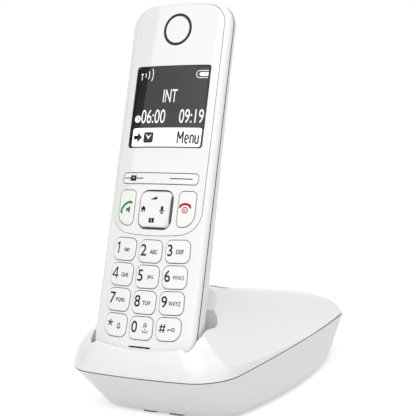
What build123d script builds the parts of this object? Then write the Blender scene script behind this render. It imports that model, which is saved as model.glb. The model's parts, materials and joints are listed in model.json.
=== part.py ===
from build123d import *
import os
from math import cos, radians, sin, tan

# Cordless phone: a leaning handset that stands in the cradle of a charging base.
# Millimetres, +Z up, the front faces -Y, the origin is under the middle of the base.

# Seat of the handset in the base
lean = 20.0
seat_setback = 2.85
seat_rise = 4.55
lift_clear = 0.3

# Handset body, measured along its own front face
handset_width = 49.0
handset_bottom = 0.0
top_rim = 1.5
end_bow = 1.6
end_round = 10.5
crown_radius = 183.0
parting_depth = 4.2
parting_gap = 0.4
front_round = 2.4
front_wall = 2.2
side_wall = 1.8
back_fall_bottom = 2.2
back_fall_top = 4.5
back_middle_at = 60.0
rear_round = 5.0
rear_sections = 5
foot_draw = 12.0
foot_curve = 2.4
head_draw = 15.5
head_curve = 1.55
end_draw = 7.5
end_curve = 4.0

# Glossy front panel and what is set in it
panel_rim = 2.75
panel_above_ring = 4.48
panel_above_keys = 1.94
panel_top_bow = 1.4
panel_bottom_bow = 2.2
panel_top_round = 8.5
panel_bottom_round = 10.0
panel_thick = 1.2
panel_proud = 0.15
panel_gap = 0.2
window_width = 36.6
window_height = 34.9
window_above_bar = 10.7
window_round = 1.2
window_view = 2.0
ring_above_window = 9.18
ring_radius = 6.32
ring_width = 1.1
ring_deep = 0.8
set_gap = 0.06
sound_hole = 0.9
sound_holes = 8

# Keys
key_gap = 0.3
key_proud = 0.55
key_edge = 0.45
key_travel = 0.7
flange_margin = 0.4
flange_thick = 0.8
flange_gap = 0.1
number_width = 11.0
number_height = 9.2
number_round = 2.6
number_cut = 4.2
column_pitch = 12.97
row_pitch = 10.46
keys_above_slot = 3.08
row_smile = 0.53
key_turn = 2.5
call_width = 7.8
call_height = 14.6
call_round = 2.0
call_cut = 5.2
call_at = 14.7
call_rise = 0.6
nav_size = 15.4
nav_round = 3.4
nav_above_panel = 3.0
nav_gap = 0.55
nav_proud = 1.2
nav_bevel = 1.3
nav_drop = 0.7
nav_sink = 0.6
nav_disc = 3.2
nav_disc_thick = 0.7
nav_float = 0.3
nav_stem = 0.8
bar_width = 36.8
bar_height = 4.4
bar_round = 1.45
bar_above_nav = 3.1
bar_proud = 0.45
bar_flange_drop = 0.6
bar_rib = 1.6

# Stack inside the handset, as depths behind the front
dome_height = 0.45
mat_thick = 0.8
dome_radius = 2.4
dome_gap = 0.15
dome_draft = 25.0
mat_below = 0.6
mat_above = 1.6
mat_width = 40.0
board_thick = 1.2
board_inset = 3.4
lcd_margin = 1.7
lcd_margin_end = 1.55
lcd_gap = 0.2
lcd_corner = 1.0
capsule_radius = 6.2
capsule_edge = 0.6
mic_radius = 2.2
mic_slot_width = 10.8
mic_slot_height = 0.7
mic_at = 7.4
can_width = 24.0
can_length = 17.0
can_drop = 3.05
can_height = 2.4
can_corner = 1.0
speaker_radius = 10.0
speaker_thick = 4.5
magnet_radius = 5.0
magnet_height = 1.0
speaker_above_cover = 10.4
speaker_wall = 1.4
speaker_gap = 0.2
grille_hole = 0.9
grille_ring = 4.2
grille_holes = 6

# Battery bay, on the back
cell_radius = 5.1
cell_length = 43.4
cell_nub = 1.9
cell_nub_length = 0.9
cell_gap = 0.5
bay_bottom = 43.0
bay_wall = 1.2
bay_floor_gap = 0.8
bay_floor = 1.2
cover_below_bay = 3.0
cover_above_bay = 8.9
cover_width = 38.0
cover_corner = 4.0
cover_thick = 1.2
cover_gap = 0.3
cover_seat_gap = 0.1
cell_room = 1.8
contact_plate = 0.4
contact_size = 8.0
spring_wide = 3.0
spring_narrow = 2.0
spring_length = 3.0

# Handset screws and charge pads
screw_at = 16.0
screw_above_bar = 5.1
screw_radius = 0.95
screw_head = 2.1
screw_head_thick = 1.6
screw_gap = 0.15
boss_wall = 1.5
pad_at = 10.0
pad_width = 6.0
pad_depth = 8.0
pad_long = 5.0
pad_thick = 0.6

# Base outline at the parting line and on the table
base_length = 127.85
base_half = 39.8
base_half_front = 38.9
base_half_rear = 35.6
base_front_bow = 3.0
base_rear_bow = 3.0
base_front_round = 17.0
base_rear_round = 15.0
foot_front = 16.4
foot_rear = 8.3
foot_half = 38.0
foot_half_front = 32.0
foot_half_rear = 28.5
foot_front_round = 16.0
foot_rear_round = 13.0
foot_widest = -5.0
parting_above_sockets = 2.85
groove = 0.4
bowl_z = 1.0
bowl_edge = 3.0
base_wall = 2.2
base_widest = -15.0
groove_deep = 0.8

# Hill of the base cover: a crowned deck, two flanks and a scoop round the handset
cover_draft = 12.0
cover_rise = 32.0
curl_rise = 16.0
curl_sections = 4
nose_curl = 0.025
corner_curl = 0.045
deck_wall = 2.9
hill_margin = 4.75
deck_front = 61.2
deck_rear = 26.4
ridge_front_half = 17.6
ridge_front = 48.6
ridge_rear_half = 27.4
ridge_rear = 23.0
flank_spread = 12.7
flank_z = 10.0
scoop_radius = 120.0
scoop_rise = 19.0
scoop_z = 30.4
cradle_gap = 0.9
cradle_front_gap = 0.5
cradle_front_round = 3.0
cradle_rear_round = 8.0
cradle_wall = 2.0

# Inside the base
base_board_half = 20.0
base_board_inset = 43.6
base_board_setback = 7.25
base_board_thick = 1.4
base_can_size = 26.0
base_can_length = 16.0
base_can_height = 3.2
base_can_clear = 5.25
pillar_radius = 3.2
pillar_front_half = 27.5
pillar_front_inset = 38.6
pillar_rear_half = 24.5
pillar_rear_inset = 35.25
pillar_split = 9.0
base_screw_radius = 1.4
base_screw_head = 2.7
base_screw_head_thick = 2.0
base_screw_sink = 3.0
base_screw_length = 12.0
paging_behind_seat = 61.95
paging_width = 12.0
paging_length = 8.0
paging_round = 2.4
paging_gap = 0.3
paging_proud = 0.4
paging_travel = 0.8
paging_stem = 2.2
paging_flange_gap = 0.3
paging_flange = 1.4
paging_flange_margin = 0.8
switch_size = 6.0
switch_height = 4.3
switch_button = 1.75
switch_button_height = 0.7
pin_radius = 1.2
pin_flange = 2.2
pin_flange_thick = 0.8
pin_tail = 2.0
pin_gap = 0.25
stand_half = 16.0
stand_front_inset = 5.0
stand_rear_inset = 11.0
stand_radius = 2.0
stand_height = 2.4
bay_half = 20.0
bay_depth = 20.0
bay_below_board = 1.4
bay_above_sockets = 0.8
socket_wall = 1.6
line_x = -10.0
line_width = 13.0
line_height = 10.6
line_mouth_width = 9.8
line_mouth_height = 6.8
line_deep = 15.0
line_mouth_deep = 12.0
power_x = 10.5
power_width = 10.0
power_height = 10.6
power_deep = 14.0
power_mouth = 3.1
power_mouth_deep = 10.0
power_pin = 1.0
socket_gap = 0.15
feet_front_half = 6.5
feet_front_inset = 21.2
feet_rear_half = 18.0
feet_rear_inset = 27.25
foot_pad_width = 7.5
foot_pad_length = 6.0
foot_pad_round = 1.8
foot_pad_sink = 0.6

# Heights and places in the base, from the table up and from its two ends
base_front = -base_length / 2
base_rear = base_length / 2
bowl_floor = bowl_z + base_wall
base_board_z = bowl_floor + stand_height
board_top_z = base_board_z + base_board_thick
parting_z = board_top_z + line_height + parting_above_sockets
cover_z = parting_z + groove / 2
bowl_top = parting_z - groove / 2
bay_z_low = base_board_z - bay_below_board
bay_z_high = board_top_z + line_height + bay_above_sockets
bay_face = base_rear - bay_depth
base_board_front = base_front + base_board_inset
base_board_rear = bay_face - base_board_setback
base_can_y = bay_face - line_deep - base_can_clear - base_can_length / 2
switch_top = board_top_z + switch_height + switch_button_height
hill_reach = base_length / 2 + hill_margin
scoop_reach = 3 * hill_reach
flank_half = base_half + flank_spread
seat_y = base_front + seat_setback
seat_z = parting_z + seat_rise
paging_y = seat_y + paging_behind_seat
paging_share = (paging_y + hill_reach) / (2 * hill_reach)
paging_deck = deck_front + (deck_rear - deck_front) * paging_share

# Places along the handset, from its foot up: keys, panel, display and ear ring
key_names = ["1", "2", "3", "4", "5", "6", "7", "8", "9", "star", "0", "hash"]
last_row = mic_at + keys_above_slot + number_height / 2
first_row = last_row + 3 * row_pitch
panel_bottom = first_row + number_height / 2 + panel_above_keys
nav_mid = panel_bottom + nav_above_panel + nav_size / 2
call_mid = nav_mid + call_rise
bar_mid = nav_mid + nav_size / 2 + bar_above_nav + bar_height / 2
screw_mid = bar_mid + bar_height / 2 + screw_above_bar
window_mid = bar_mid + bar_height / 2 + window_above_bar + window_height / 2
ring_mid = window_mid + window_height / 2 + ring_above_window + ring_radius
panel_top = ring_mid + ring_radius + panel_above_ring
handset_top = panel_top + top_rim
handset_length = handset_top - handset_bottom
panel_half = handset_width / 2 - panel_rim
mat_bottom_edge = mic_at + mic_radius + mat_below
mat_top_edge = bar_mid + bar_height / 2 + mat_above
can_mid = window_mid - can_drop

# Depths behind the front, from the key flanges to the back of the battery cover
flange_top = front_wall + flange_gap
flange_bottom = flange_top + flange_thick
dome_top = flange_bottom + key_travel + dome_gap
mat_top = dome_top + dome_height
nav_depth = front_wall + nav_sink
board_top = mat_top + mat_thick
board_bottom = board_top + board_thick
bay_outer = board_bottom + bay_floor_gap
bay_inner = bay_outer + bay_floor
cell_depth = bay_inner + cell_radius + contact_plate
back_middle = cell_depth + cell_radius + cell_room + cover_thick
back_bottom = back_middle - back_fall_bottom
back_top = back_middle - back_fall_top
far_back = 2 * back_middle
front_room = 2 * parting_depth

# Battery bay and what lies round it on the back
bay_half_width = 2 * cell_radius + 2 * cell_gap
cell_at = cell_radius + cell_gap / 2
spring_seat = contact_plate + spring_length
bay_top = bay_bottom + spring_seat + cell_length + cell_nub_length + contact_plate
cover_bottom = bay_bottom - cover_below_bay
cover_top = bay_top + cover_above_bay
speaker_mid = cover_top + speaker_above_cover + speaker_radius + speaker_gap + speaker_wall

# Directions of the leaning handset: along it, out of its front, and its planes
along = Vector(0, sin(radians(lean)), cos(radians(lean)))
outward = Vector(0, -cos(radians(lean)), sin(radians(lean)))
front = Plane(origin=(0, seat_y, seat_z), x_dir=(1, 0, 0), z_dir=outward)
side = Plane(origin=(0, seat_y, seat_z), x_dir=along, z_dir=(1, 0, 0))
cross = Plane(origin=(0, seat_y, seat_z), x_dir=(1, 0, 0), z_dir=along)
out_axis = Axis((0, seat_y, seat_z), outward)
reach = 2 * handset_length

os.makedirs("parts", exist_ok=True)


def save(piece, name):
    piece.part.label = name
    export_step(piece.part, f"parts/{name}.step")


# The handset seen from the front, drawn in by a wall and, towards the back, at its foot, head and ends
def handset_outline(inset=0.0, foot_in=0.0, head_in=0.0, ends_in=0.0):
    half = handset_width / 2 - inset
    top = handset_top - inset - ends_in
    bottom = handset_bottom + inset + ends_in
    with BuildSketch() as flat:
        with BuildLine():
            head = ThreePointArc((head_in - half, top - end_bow), (0, top), (half - head_in, top - end_bow))
            foot = ThreePointArc(
                (half - foot_in, bottom + end_bow), (0, bottom), (foot_in - half, bottom + end_bow)
            )
            Line(head @ 1, foot @ 0)
            Line(foot @ 1, head @ 0)
        make_face()
        fillet(flat.vertices(), radius=(end_round - inset) * (1 - head_in / half))
    return flat.sketch


def panel_outline(grow=0.0):
    half = panel_half + grow
    with BuildSketch() as flat:
        with BuildLine():
            head = ThreePointArc(
                (-half, panel_top - panel_top_bow + grow),
                (0, panel_top + grow),
                (half, panel_top - panel_top_bow + grow),
            )
            foot = ThreePointArc(
                (half, panel_bottom + panel_bottom_bow - grow),
                (0, panel_bottom - grow),
                (-half, panel_bottom + panel_bottom_bow - grow),
            )
            Line(head @ 1, foot @ 0)
            Line(foot @ 1, head @ 0)
        make_face()
        fillet(flat.vertices().group_by(Axis.Y)[-1], radius=panel_top_round + grow)
        fillet(flat.vertices().group_by(Axis.Y)[0], radius=panel_bottom_round + grow)
    return flat.sketch


def key_outline(at, width, height, corner, grow=0.0, cut=None, outer=1, turn=0.0):
    half_width = width / 2 + grow
    half_height = height / 2 + grow
    plain = corner + grow
    large = (cut or corner) + grow
    left, right = (large, plain) if outer < 0 else (plain, large)
    corners = [(1, 1, plain, 0), (-1, 1, plain, 90), (-1, -1, left, 180), (1, -1, right, 270)]
    with BuildSketch() as flat:
        with BuildLine():
            arcs = [
                CenterArc((x * (half_width - r), y * (half_height - r)), r, start, 90)
                for x, y, r, start in corners
            ]
            for arc, following in zip(arcs, arcs[1:] + arcs[:1]):
                Line(arc @ 1, following @ 0)
        make_face()
    with BuildSketch() as placed:
        with Locations(Location((at[0], at[1], 0), (0, 0, turn))):
            add(flat.sketch)
    return placed.sketch


# Column of a number key and its middle: the rows sag a little towards the middle column
def number_place(name):
    place = key_names.index(name)
    column = place % 3 - 1
    row = place // 3
    return column, (column * column_pitch, first_row - row * row_pitch + abs(column) * row_smile)


# Every key's outline, by name, grown by the clearance of its hole or the width of its flange
def number_outline(name, grow=0.0):
    column, at = number_place(name)
    cut = number_cut if name in ("star", "hash") else None
    return key_outline(
        at, number_width, number_height, number_round, grow, cut, column or 1, column * key_turn
    )


def call_outline(hand, grow=0.0):
    at = (hand * call_at, call_mid)
    return key_outline(at, call_width, call_height, call_round, grow, call_cut, hand)


def nav_outline(grow=0.0):
    return key_outline((0, nav_mid), nav_size, nav_size, nav_round, grow)


def bar_outline(grow=0.0):
    return key_outline((0, bar_mid), bar_width, bar_height, bar_round, grow)


def window_outline(grow=0.0):
    return key_outline((0, window_mid), window_width, window_height, window_round, grow)


def view_outline():
    width = window_width - 2 * window_view
    return key_outline((0, window_mid), width, window_height - 2 * window_view, window_round)


# The space behind the curved front, raised or sunk by an amount
def crown(raised):
    with BuildPart() as barrel:
        with BuildSketch(cross):
            with Locations((0, crown_radius)):
                Circle(crown_radius + raised)
        extrude(amount=reach, both=True)
    return barrel.part


# A plate that follows the curved front, between two levels
def skin(outline, raised, sunk):
    with BuildPart() as plate:
        with BuildSketch(front.offset(-parting_depth)):
            add(outline)
        extrude(amount=front_room)
        add(crown(raised), mode=Mode.INTERSECT)
        add(crown(-sunk), mode=Mode.SUBTRACT)
    return plate.part


# The rear half of the handset as a solid, drawn in by a wall: it narrows towards the back, most at its head
def rear_form(inset=0.0):
    rear_depth = back_middle - parting_depth - parting_gap - inset
    with BuildPart() as form:
        for step in range(rear_sections + 1):
            share = step / rear_sections
            with BuildSketch(front.offset(-parting_depth - parting_gap - share * rear_depth)):
                add(
                    handset_outline(
                        inset,
                        foot_draw * share**foot_curve,
                        head_draw * share**head_curve,
                        end_draw * share**end_curve,
                    )
                )
        loft()
        with BuildSketch(side):
            with BuildLine():
                back = ThreePointArc(
                    (handset_bottom - end_round, -back_bottom + inset),
                    (back_middle_at, -back_middle + inset),
                    (handset_top + end_round, -back_top + inset),
                )
                Polyline(back @ 1, (handset_top + end_round, 0), (handset_bottom - end_round, 0), back @ 0)
            make_face()
        extrude(amount=handset_width, both=True, mode=Mode.INTERSECT)
        fillet(form.faces().sort_by(out_axis)[0].edges(), radius=rear_round - inset)
    return form.part


# A prism through the handset, from one depth behind the front to another
def prism(outline, shallow, deep):
    with BuildPart() as block:
        with BuildSketch(front.offset(-deep)):
            add(outline)
        extrude(amount=deep - shallow)
    return block.part


front_holes = [number_outline(name, key_gap) for name in key_names]
panel_holes = [
    call_outline(-1, key_gap),
    call_outline(1, key_gap),
    nav_outline(nav_gap),
    bar_outline(key_gap),
]

with BuildSketch() as ring_band:
    with Locations((0, ring_mid)):
        Circle(ring_radius + ring_width / 2)
        Circle(ring_radius - ring_width / 2, mode=Mode.SUBTRACT)

with BuildSketch() as ring_slot:
    with Locations((0, ring_mid)):
        Circle(ring_radius + ring_width / 2 + set_gap)
        Circle(ring_radius - ring_width / 2 - set_gap, mode=Mode.SUBTRACT)

with BuildSketch() as sound_pattern:
    with Locations((0, ring_mid)):
        with PolarLocations(ring_radius, sound_holes):
            Circle(sound_hole / 2)

# Front shell: a curved front with a sunk seat for the panel, key holes and screw bosses
with BuildPart() as handset_front_shell:
    with BuildSketch(front.offset(-parting_depth)):
        add(handset_outline())
    extrude(amount=front_room)
    add(crown(0), mode=Mode.INTERSECT)
    fillet(handset_front_shell.faces().sort_by(out_axis)[-1].edges(), radius=front_round)
    add(prism(handset_outline(side_wall), front_wall, parting_depth), mode=Mode.SUBTRACT)
    add(skin(panel_outline(panel_gap), panel_thick, panel_thick), mode=Mode.SUBTRACT)
    with BuildSketch(front):
        for hole in front_holes + panel_holes:
            add(hole)
        add(view_outline())
        add(sound_pattern.sketch)
        with Locations((0, mic_at)):
            SlotOverall(mic_slot_width, mic_slot_height)
    extrude(amount=parting_depth, both=True, mode=Mode.SUBTRACT)
    with BuildSketch(front.offset(-front_wall)):
        with Locations((-screw_at, screw_mid), (screw_at, screw_mid)):
            Circle(screw_radius + boss_wall)
            Circle(screw_radius + screw_gap, mode=Mode.SUBTRACT)
    extrude(amount=-(board_top - front_wall))
save(handset_front_shell, "handset_front_shell")

# Glossy panel with the display, ear ring and call keys set into it
with BuildPart() as front_cover:
    add(skin(panel_outline(), panel_proud, panel_thick))
    with BuildSketch(front):
        for hole in panel_holes:
            add(hole)
        add(window_outline(set_gap))
        add(sound_pattern.sketch)
    extrude(amount=parting_depth, both=True, mode=Mode.SUBTRACT)
    add(skin(ring_slot.sketch, panel_thick, ring_deep), mode=Mode.SUBTRACT)
save(front_cover, "front_cover")

with BuildPart() as display_window:
    add(skin(window_outline(), panel_proud, panel_thick))
save(display_window, "display_window")

with BuildPart() as earpiece_ring:
    add(skin(ring_band.sketch, panel_proud, ring_deep))
save(earpiece_ring, "earpiece_ring")

with BuildPart() as lcd_module:
    with BuildSketch(front.offset(-board_top)):
        with Locations((0, window_mid)):
            Rectangle(window_width + 2 * lcd_margin, window_height + 2 * lcd_margin_end)
    extrude(amount=board_top - front_wall - lcd_gap)
    chamfer(lcd_module.edges().filter_by(out_axis), length=lcd_corner)
save(lcd_module, "lcd_module")

with BuildPart() as receiver_capsule:
    with BuildSketch(front.offset(-board_top)):
        with Locations((0, ring_mid)):
            Circle(capsule_radius)
    extrude(amount=board_top - front_wall - lcd_gap)
    fillet(receiver_capsule.faces().sort_by(out_axis)[-1].edges(), radius=capsule_edge)
save(receiver_capsule, "receiver_capsule")

with BuildPart() as microphone:
    with BuildSketch(front.offset(-board_top)):
        with Locations((0, mic_at)):
            Circle(mic_radius)
    extrude(amount=board_top - front_wall - lcd_gap)
save(microphone, "microphone")


# A key cap with a rounded top that follows the front, on a flange under the shell
def key_cap(outline, flange, raised, edge, top_of_flange):
    with BuildPart() as cap:
        with BuildSketch(front.offset(-top_of_flange)):
            add(outline)
        extrude(amount=front_room)
        add(crown(raised), mode=Mode.INTERSECT)
        fillet(cap.faces().sort_by(out_axis)[-1].edges(), radius=edge)
        with BuildSketch(front.offset(-top_of_flange - flange_thick)):
            add(flange)
        extrude(amount=flange_thick)
    return cap


for name in key_names:
    number_key = key_cap(
        number_outline(name), number_outline(name, flange_margin), key_proud, key_edge, flange_top
    )
    save(number_key, f"key_{name}")

talk_key = key_cap(call_outline(-1), call_outline(-1, flange_margin), key_proud, key_edge, flange_top)
save(talk_key, "talk_key")

end_key = key_cap(call_outline(1), call_outline(1, flange_margin), key_proud, key_edge, flange_top)
save(end_key, "end_key")

# Display key bar: rocks left and right on a rib under its middle
with BuildPart() as softkey_bar:
    add(key_cap(
        bar_outline(), bar_outline(flange_margin), bar_proud, key_edge, flange_top + bar_flange_drop
    ).part)
    with BuildSketch(front.offset(-mat_top + flange_gap)):
        with Locations((0, bar_mid)):
            Rectangle(bar_rib, bar_height)
    extrude(amount=mat_top - flange_bottom - bar_flange_drop - flange_gap)
save(softkey_bar, "softkey_bar")

# Navigation key: a bevelled cap that tilts on a small rocker disc
with BuildPart() as nav_key:
    with BuildSketch(front.offset(-nav_depth)):
        add(nav_outline())
    extrude(amount=nav_depth + nav_proud)
    chamfer(
        nav_key.faces().sort_by(out_axis)[-1].edges(), length=nav_drop, length2=nav_bevel,
        reference=nav_key.faces().sort_by(out_axis)[-1],
    )
save(nav_key, "nav_key")

with BuildPart() as nav_rocker:
    with BuildSketch(front.offset(-nav_depth - nav_float)):
        with Locations((0, nav_mid)):
            Circle(nav_disc)
    extrude(amount=-nav_disc_thick)
    with BuildSketch(front.offset(-nav_depth - nav_float - nav_disc_thick)):
        with Locations((0, nav_mid)):
            Circle(nav_stem)
    extrude(amount=-(mat_top - flange_gap - nav_depth - nav_float - nav_disc_thick))
save(nav_rocker, "nav_rocker")

# Rubber mat under the keys, with a dome below each key
with BuildPart() as keypad_mat:
    with BuildSketch(front.offset(-board_top)):
        with Locations((0, (mat_bottom_edge + mat_top_edge) / 2)):
            RectangleRounded(mat_width, mat_top_edge - mat_bottom_edge, number_round)
    extrude(amount=mat_thick)
    with BuildSketch(front.offset(-mat_top)):
        with Locations(*[number_place(name)[1] for name in key_names]):
            Circle(dome_radius)
        with Locations((-call_at, call_mid), (call_at, call_mid)):
            Circle(dome_radius)
    extrude(amount=mat_top - dome_top, taper=dome_draft)
save(keypad_mat, "keypad_mat")

with BuildPart() as handset_board:
    with BuildSketch(front.offset(-board_bottom)):
        add(handset_outline(board_inset))
        with Locations((-screw_at, screw_mid), (screw_at, screw_mid)):
            Circle(screw_radius + screw_gap, mode=Mode.SUBTRACT)
    extrude(amount=board_thick)
save(handset_board, "handset_board")

with BuildPart() as handset_shield:
    with BuildSketch(front.offset(-board_bottom)):
        with Locations((0, can_mid)):
            RectangleRounded(can_width, can_length, can_corner)
    extrude(amount=-can_height)
save(handset_shield, "handset_shield")

with BuildSketch() as cover_plan:
    with Locations((0, (cover_bottom + cover_top) / 2)):
        RectangleRounded(cover_width, cover_top - cover_bottom, cover_corner)

with BuildSketch() as cover_hole:
    with Locations((0, (cover_bottom + cover_top) / 2)):
        RectangleRounded(
            cover_width + 2 * cover_gap, cover_top - cover_bottom + 2 * cover_gap, cover_corner + cover_gap
        )

with BuildSketch() as bay_plan:
    with Locations((0, (bay_bottom + bay_top) / 2)):
        Rectangle(2 * bay_half_width, bay_top - bay_bottom)

with BuildSketch() as bay_frame:
    with Locations((0, (bay_bottom + bay_top) / 2)):
        Rectangle(2 * (bay_half_width + bay_wall), bay_top - bay_bottom + 2 * bay_wall)

with BuildSketch() as boss_plan:
    with Locations((-screw_at, screw_mid), (screw_at, screw_mid)):
        Circle(screw_head + screw_gap + boss_wall)

with BuildSketch() as pad_plan:
    with Locations((-pad_at, handset_bottom), (pad_at, handset_bottom)):
        Rectangle(pad_width, 2 * end_bow)

# What fills the hollow rear shell: battery bay, screw bosses and the loudspeaker's ring wall
with BuildPart() as rear_fill:
    add(prism(bay_frame.sketch, bay_outer, far_back))
    add(prism(boss_plan.sketch, board_bottom, far_back))
    with BuildSketch(front.offset(-far_back)):
        with Locations((0, speaker_mid)):
            Circle(speaker_radius + speaker_gap + speaker_wall)
            Circle(speaker_radius + speaker_gap, mode=Mode.SUBTRACT)
    extrude(amount=far_back - back_top + side_wall + speaker_thick)
    add(rear_form(), mode=Mode.INTERSECT)

# Charge pads, let into the bottom end of the rear shell
with BuildPart() as charge_pads:
    add(rear_form())
    add(rear_form(pad_thick), mode=Mode.SUBTRACT)
    add(
        prism(pad_plan.sketch, pad_depth - pad_long / 2, pad_depth + pad_long / 2),
        mode=Mode.INTERSECT,
    )
save(charge_pads, "charge_pads")

# Seat of the battery cover, cut one cover thickness into the back
with BuildPart() as cover_seat:
    add(prism(cover_hole.sketch, bay_inner, far_back))
    add(rear_form(cover_thick + cover_seat_gap), mode=Mode.SUBTRACT)

with BuildPart() as handset_rear_shell:
    add(rear_form())
    add(rear_form(side_wall), mode=Mode.SUBTRACT)
    add(rear_fill.part)
    add(cover_seat.part, mode=Mode.SUBTRACT)
    add(prism(bay_plan.sketch, bay_inner, far_back), mode=Mode.SUBTRACT)
    add(charge_pads.part, mode=Mode.SUBTRACT)
    with BuildSketch(front.offset(-far_back)):
        with Locations((-screw_at, screw_mid), (screw_at, screw_mid)):
            Circle(screw_head + screw_gap)
    extrude(amount=far_back - bay_inner, mode=Mode.SUBTRACT)
    with BuildSketch(front.offset(-far_back)):
        with Locations((-screw_at, screw_mid), (screw_at, screw_mid)):
            Circle(screw_radius + screw_gap)
        with Locations((0, speaker_mid)):
            Circle(grille_hole)
            with PolarLocations(grille_ring, grille_holes):
                Circle(grille_hole)
    extrude(amount=far_back - board_bottom, mode=Mode.SUBTRACT)
save(handset_rear_shell, "handset_rear_shell")

with BuildPart() as battery_cover:
    add(prism(cover_plan.sketch, bay_inner, far_back))
    add(rear_form(), mode=Mode.INTERSECT)
    add(rear_form(cover_thick), mode=Mode.SUBTRACT)
save(battery_cover, "battery_cover")

# Two cells lie head to tail between a sprung contact and a flat one
with BuildPart() as battery_cells:
    for hand, start in ((-1, bay_bottom + spring_seat), (1, bay_top - spring_seat)):
        with BuildSketch(cross.offset(start)):
            with Locations((hand * cell_at, cell_depth)):
                Circle(cell_radius)
        extrude(amount=-hand * cell_length)
        with BuildSketch(cross.offset(start - hand * cell_length)):
            with Locations((hand * cell_at, cell_depth)):
                Circle(cell_nub)
        extrude(amount=-hand * cell_nub_length)
save(battery_cells, "battery_cells")

with BuildPart() as battery_contacts:
    for hand in (-1, 1):
        for edge, inward in ((bay_bottom, 1), (bay_top, -1)):
            with BuildSketch(cross.offset(edge)):
                with Locations((hand * cell_at, cell_depth)):
                    Rectangle(contact_size, contact_size)
            extrude(amount=inward * contact_plate)
    for hand, edge, inward in ((-1, bay_bottom, 1), (1, bay_top, -1)):
        with BuildSketch(cross.offset(edge + inward * contact_plate)):
            with Locations((hand * cell_at, cell_depth)):
                Circle(spring_wide)
        with BuildSketch(cross.offset(edge + inward * spring_seat)):
            with Locations((hand * cell_at, cell_depth)):
                Circle(spring_narrow)
        loft()
save(battery_contacts, "battery_contacts")

with BuildPart() as loudspeaker:
    with BuildSketch(front.offset(-back_top + side_wall)):
        with Locations((0, speaker_mid)):
            Circle(speaker_radius)
    extrude(amount=speaker_thick)
    with BuildSketch(front.offset(-back_top + side_wall + speaker_thick)):
        with Locations((0, speaker_mid)):
            Circle(magnet_radius)
    extrude(amount=magnet_height)
save(loudspeaker, "loudspeaker")

with BuildPart() as handset_screws:
    with BuildSketch(front.offset(-bay_inner)):
        with Locations((-screw_at, screw_mid), (screw_at, screw_mid)):
            Circle(screw_head)
    extrude(amount=-screw_head_thick)
    with BuildSketch(front.offset(-bay_inner)):
        with Locations((-screw_at, screw_mid), (screw_at, screw_mid)):
            Circle(screw_radius)
    extrude(amount=bay_inner - front_wall - screw_gap)
save(handset_screws, "handset_screws")


def base_outline(inset=0.0):
    return boat_outline(
        base_front + inset, base_rear - inset,
        base_half_front - inset, base_half - inset, base_half_rear - inset,
        base_front_round - inset, base_rear_round - inset, base_widest,
    )


def foot_outline(inset=0.0):
    return boat_outline(
        base_front + foot_front + inset, base_rear - foot_rear - inset,
        foot_half_front - inset, foot_half - inset, foot_half_rear - inset,
        foot_front_round - inset, foot_rear_round - inset, foot_widest,
    )


# The base seen from above: bowed ends and sides with rounded corners
def boat_outline(nose_y, tail_y, half_front, half, half_rear, round_front, round_rear, widest):
    with BuildSketch() as flat:
        with BuildLine():
            nose = ThreePointArc(
                (-half_front, nose_y + base_front_bow), (0, nose_y), (half_front, nose_y + base_front_bow)
            )
            right = ThreePointArc(nose @ 1, (half, widest), (half_rear, tail_y - base_rear_bow))
            tail = ThreePointArc(right @ 1, (0, tail_y), (-half_rear, tail_y - base_rear_bow))
            ThreePointArc(tail @ 1, (-half, widest), nose @ 0)
        make_face()
        fillet(flat.vertices().group_by(Axis.Y)[0], radius=round_front)
        fillet(flat.vertices().group_by(Axis.Y)[-1], radius=round_rear)
    return flat.sketch


# Top surfaces of the base cover: deck and flanks as a ruled form, with the scoop cut from it
def hill(drop=0.0):
    with BuildPart() as form:
        for y, deck, ridge_half, ridge in (
            (-hill_reach, deck_front, ridge_front_half, ridge_front),
            (hill_reach, deck_rear, ridge_rear_half, ridge_rear),
        ):
            with BuildSketch(Plane.XZ.offset(-y)):
                with BuildLine():
                    top = ThreePointArc(
                        (-ridge_half, ridge - drop), (0, deck - drop), (ridge_half, ridge - drop)
                    )
                    Polyline(top @ 1, (flank_half, flank_z - drop), (-flank_half, flank_z - drop), top @ 0)
                make_face()
        loft(ruled=True)
        scoop_start = scoop_z - drop - (hill_reach + seat_y) * tan(radians(scoop_rise))
        with BuildSketch(Plane.XZ.offset(hill_reach)):
            with Locations((0, scoop_start + scoop_radius)):
                Circle(scoop_radius)
        extrude(
            amount=scoop_reach,
            dir=(0, cos(radians(scoop_rise)), sin(radians(scoop_rise))),
            mode=Mode.SUBTRACT,
        )
    return form.part


# The base cover at a height above the parting: the sides lean in, the nose and front corners curl back
def cover_outline(rise, inset):
    curled = min(rise, curl_rise)
    lean_in = rise * tan(radians(cover_draft)) + inset
    curl_in = (rise - curled) * tan(radians(cover_draft)) + inset
    return boat_outline(
        base_front + nose_curl * curled**2 + curl_in, base_rear - lean_in,
        base_half_front - corner_curl * curled**2 - curl_in, base_half - lean_in, base_half_rear - lean_in,
        base_front_round - inset, base_rear_round - inset, base_widest,
    )


# The wall of the base cover as a solid block, curled up to the height of the scoop and straight above
def cover_block(inset=0.0):
    with BuildPart() as block:
        for step in range(curl_sections + 1):
            rise = curl_rise * step / curl_sections
            with BuildSketch(Plane.XY.offset(cover_z + rise)):
                add(cover_outline(rise, inset))
        loft()
        for rise in (curl_rise, cover_rise):
            with BuildSketch(Plane.XY.offset(cover_z + rise)):
                add(cover_outline(rise, inset))
        loft(ruled=True)
    return block.part


# The handset's cross-section with room round it, drawn across the handset
def cradle_outline(grow=0.0):
    half = handset_width / 2 + cradle_gap + grow
    ahead = -cradle_front_gap - grow
    behind = back_middle + cradle_front_gap + grow
    with BuildSketch() as flat:
        with Locations((0, (ahead + behind) / 2)):
            Rectangle(2 * half, behind - ahead)
        fillet(flat.vertices().group_by(Axis.Y)[0], radius=cradle_front_round + grow)
        fillet(flat.vertices().group_by(Axis.Y)[-1], radius=cradle_rear_round + grow)
    return flat.sketch


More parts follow.
